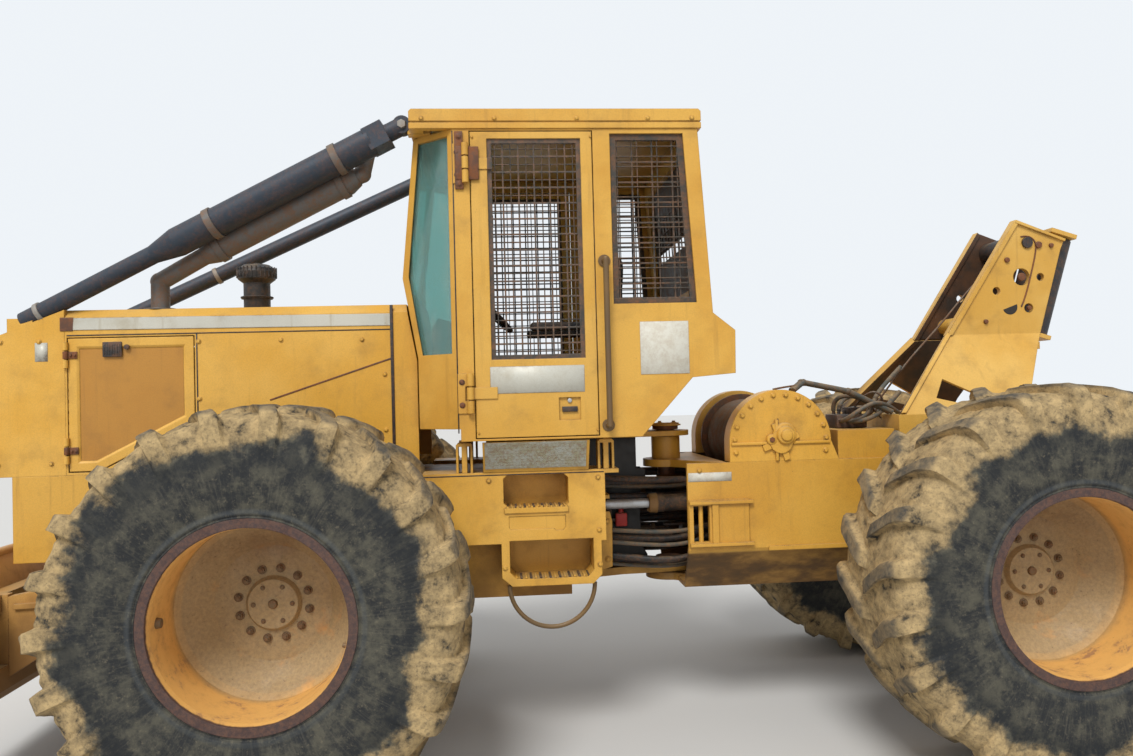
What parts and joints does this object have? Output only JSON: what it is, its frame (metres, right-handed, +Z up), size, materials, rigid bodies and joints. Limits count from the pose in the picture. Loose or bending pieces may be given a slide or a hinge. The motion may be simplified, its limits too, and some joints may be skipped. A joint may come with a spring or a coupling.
{
  "type": "cable skidder",
  "caption": "Articulated forestry cable skidder with front blade, guarded cab, winch and rear arch with rollers.",
  "frame": {"origin": "on the ground, under the middle of the machine's length and width", "axes": "+X forward, +Y to the driver's left, +Z up; the machine is straight"},
  "size_m": [6.0064, 2.7308, 3.165],
  "materials": {
    "yellow_paint": "weathered satin enamel, dusty",
    "dark_steel": "dark paint, worn and dusty",
    "tyre": "worn rubber with dried mud",
    "glass": "tinted",
    "seat": "black cover, worn",
    "rod": "polished",
    "exhaust": "heat-browned, rusty",
    "rusty_steel": "rusty",
    "cast": "oily, dusty",
    "plastic": "matte"
  },
  "bodies": {
    "front": {"front_frame": "yellow_paint", "engine": "cast", "transmission": "cast", "radiator_guard": "yellow_paint", "hood": "yellow_paint", "cab_shell": "yellow_paint", "cab_roof": "yellow_paint", "cab_glass": "glass", "window_guards": "dark_steel", "cab_mounts": "yellow_paint", "seat": "seat", "console": "plastic", "risers": "dark_steel", "muffler": "exhaust", "precleaner": "plastic", "side_boxes": "yellow_paint", "handholds": "dark_steel"},
    "axle_front": {"front_axle": "cast"},
    "wheel_front_left": {"tyre_front_left": "tyre", "rim_front_left": "yellow_paint"},
    "wheel_front_right": {"tyre_front_right": "tyre", "rim_front_right": "yellow_paint"},
    "wheel_rear_left": {"tyre_rear_left": "tyre", "rim_rear_left": "yellow_paint"},
    "wheel_rear_right": {"tyre_rear_right": "tyre", "rim_rear_right": "yellow_paint"},
    "blade": {"blade": "yellow_paint", "blade_arms": "yellow_paint"},
    "rear": {"rear_frame": "yellow_paint", "pivot_pins": "yellow_paint", "rear_axle": "cast", "winch_housing": "yellow_paint", "arch": "yellow_paint", "hoses": "plastic"},
    "drum": {"winch_drum": "rusty_steel"},
    "top_roller": {"top_roller": "rusty_steel"},
    "side_roller_left": {"side_roller_left": "dark_steel"},
    "side_roller_right": {"side_roller_right": "dark_steel"},
    "blade_barrel_left": {"blade_barrel_left": "dark_steel"},
    "blade_rod_left": {"blade_rod_left": "rod"},
    "steer_barrel_left": {"steer_barrel_left": "dark_steel"},
    "steer_rod_left": {"steer_rod_left": "rod"},
    "door_left": {"door_left": "yellow_paint"},
    "engine_door_left": {"engine_door_left": "yellow_paint"},
    "blade_barrel_right": {"blade_barrel_right": "dark_steel"},
    "blade_rod_right": {"blade_rod_right": "rod"},
    "steer_barrel_right": {"steer_barrel_right": "dark_steel"},
    "steer_rod_right": {"steer_rod_right": "rod"},
    "door_right": {"door_right": "yellow_paint"},
    "engine_door_right": {"engine_door_right": "yellow_paint"}
  },
  "joints": [
    {"name": "steer", "type": "hinge", "parent": "front", "child": "rear", "pos_m": [-0.575, 0, 1], "axis": [0, 0, 1], "range_deg": [-45, 45]},
    {"name": "front_axle_oscillation", "type": "hinge", "parent": "front", "child": "axle_front", "pos_m": [1.375, 0, 0.885], "axis": [1, 0, 0], "range_deg": [-15, 15]},
    {"name": "roll_front_left", "type": "hinge", "parent": "axle_front", "child": "wheel_front_left", "pos_m": [1.375, 1.04, 0.885], "axis": [0, 1, 0], "continuous": true},
    {"name": "roll_front_right", "type": "hinge", "parent": "axle_front", "child": "wheel_front_right", "pos_m": [1.375, -1.04, 0.885], "axis": [0, 1, 0], "continuous": true},
    {"name": "roll_rear_left", "type": "hinge", "parent": "rear", "child": "wheel_rear_left", "pos_m": [-2.125, 1.04, 0.885], "axis": [0, 1, 0], "continuous": true},
    {"name": "roll_rear_right", "type": "hinge", "parent": "rear", "child": "wheel_rear_right", "pos_m": [-2.125, -1.04, 0.885], "axis": [0, 1, 0], "continuous": true},
    {"name": "blade_lift", "type": "hinge", "parent": "front", "child": "blade", "pos_m": [1.775, 0, 0.75], "axis": [0, 1, 0], "range_deg": [-6, 22]},
    {"name": "blade_barrel_swing_left", "type": "hinge", "parent": "front", "child": "blade_barrel_left", "pos_m": [2.325, 0.22, 1.22], "axis": [0, 1, 0], "range_deg": [-5.33, 18.74]},
    {"name": "blade_rod_slide_left", "type": "slide", "parent": "blade_barrel_left", "child": "blade_rod_left", "axis": [0.6047, 0, -0.7964], "range_m": [-0.076, 0.2735]},
    {"name": "blade_barrel_swing_right", "type": "hinge", "parent": "front", "child": "blade_barrel_right", "pos_m": [2.325, -0.22, 1.22], "axis": [0, 1, 0], "range_deg": [-5.33, 18.74]},
    {"name": "blade_rod_slide_right", "type": "slide", "parent": "blade_barrel_right", "child": "blade_rod_right", "axis": [0.6047, 0, -0.7964], "range_m": [-0.076, 0.2735]},
    {"name": "steer_barrel_swing_left", "type": "hinge", "parent": "rear", "child": "steer_barrel_left", "pos_m": [-0.995, 0.2, 1.175], "axis": [0, 0, 1], "range_deg": [-22.8, 22.8]},
    {"name": "steer_rod_slide_left", "type": "slide", "parent": "steer_barrel_left", "child": "steer_rod_left", "axis": [1, 0, 0], "range_m": [-0.155, 0.155]},
    {"name": "steer_barrel_swing_right", "type": "hinge", "parent": "rear", "child": "steer_barrel_right", "pos_m": [-0.995, -0.2, 1.175], "axis": [0, 0, 1], "range_deg": [-22.8, 22.8]},
    {"name": "steer_rod_slide_right", "type": "slide", "parent": "steer_barrel_right", "child": "steer_rod_right", "axis": [1, 0, 0], "range_m": [-0.155, 0.155]},
    {"name": "door_swing_left", "type": "hinge", "parent": "front", "child": "door_left", "pos_m": [0.495, 0.7, 2.3], "axis": [0, 0, -1], "range_deg": [0, 90]},
    {"name": "engine_door_swing_left", "type": "hinge", "parent": "front", "child": "engine_door_left", "pos_m": [2.473, 0.44, 1.8], "axis": [0, 0, -1], "range_deg": [0, 90]},
    {"name": "door_swing_right", "type": "hinge", "parent": "front", "child": "door_right", "pos_m": [0.495, -0.7, 2.3], "axis": [0, 0, 1], "range_deg": [0, 90]},
    {"name": "engine_door_swing_right", "type": "hinge", "parent": "front", "child": "engine_door_right", "pos_m": [2.473, -0.44, 1.8], "axis": [0, 0, 1], "range_deg": [0, 90]},
    {"name": "winch_turn", "type": "hinge", "parent": "rear", "child": "drum", "pos_m": [-1.095, 0, 1.5], "axis": [0, 1, 0], "continuous": true},
    {"name": "top_roller_turn", "type": "hinge", "parent": "rear", "child": "top_roller", "pos_m": [-2.625, 0, 2.56], "axis": [0, 1, 0], "continuous": true},
    {"name": "side_roller_turn_left", "type": "hinge", "parent": "rear", "child": "side_roller_left", "pos_m": [-2.72, 0.11, 2.05], "axis": [-0.2947, 0, 0.9556], "continuous": true},
    {"name": "side_roller_turn_right", "type": "hinge", "parent": "rear", "child": "side_roller_right", "pos_m": [-2.72, -0.11, 2.05], "axis": [-0.2947, 0, 0.9556], "continuous": true}
  ],
  "couplings": [
    {"joint": "blade_barrel_swing_left", "follows": "blade_lift", "ratio": 0.838},
    {"joint": "blade_rod_slide_left", "follows": "blade_lift", "m_per_rad": 0.707},
    {"joint": "blade_barrel_swing_right", "follows": "blade_lift", "ratio": 0.838},
    {"joint": "blade_rod_slide_right", "follows": "blade_lift", "m_per_rad": 0.707},
    {"joint": "steer_barrel_swing_left", "follows": "steer", "ratio": -0.5},
    {"joint": "steer_rod_slide_left", "follows": "steer", "m_per_rad": 0.1948},
    {"joint": "steer_barrel_swing_right", "follows": "steer", "ratio": -0.5},
    {"joint": "steer_rod_slide_right", "follows": "steer", "m_per_rad": -0.1948}
  ]
}
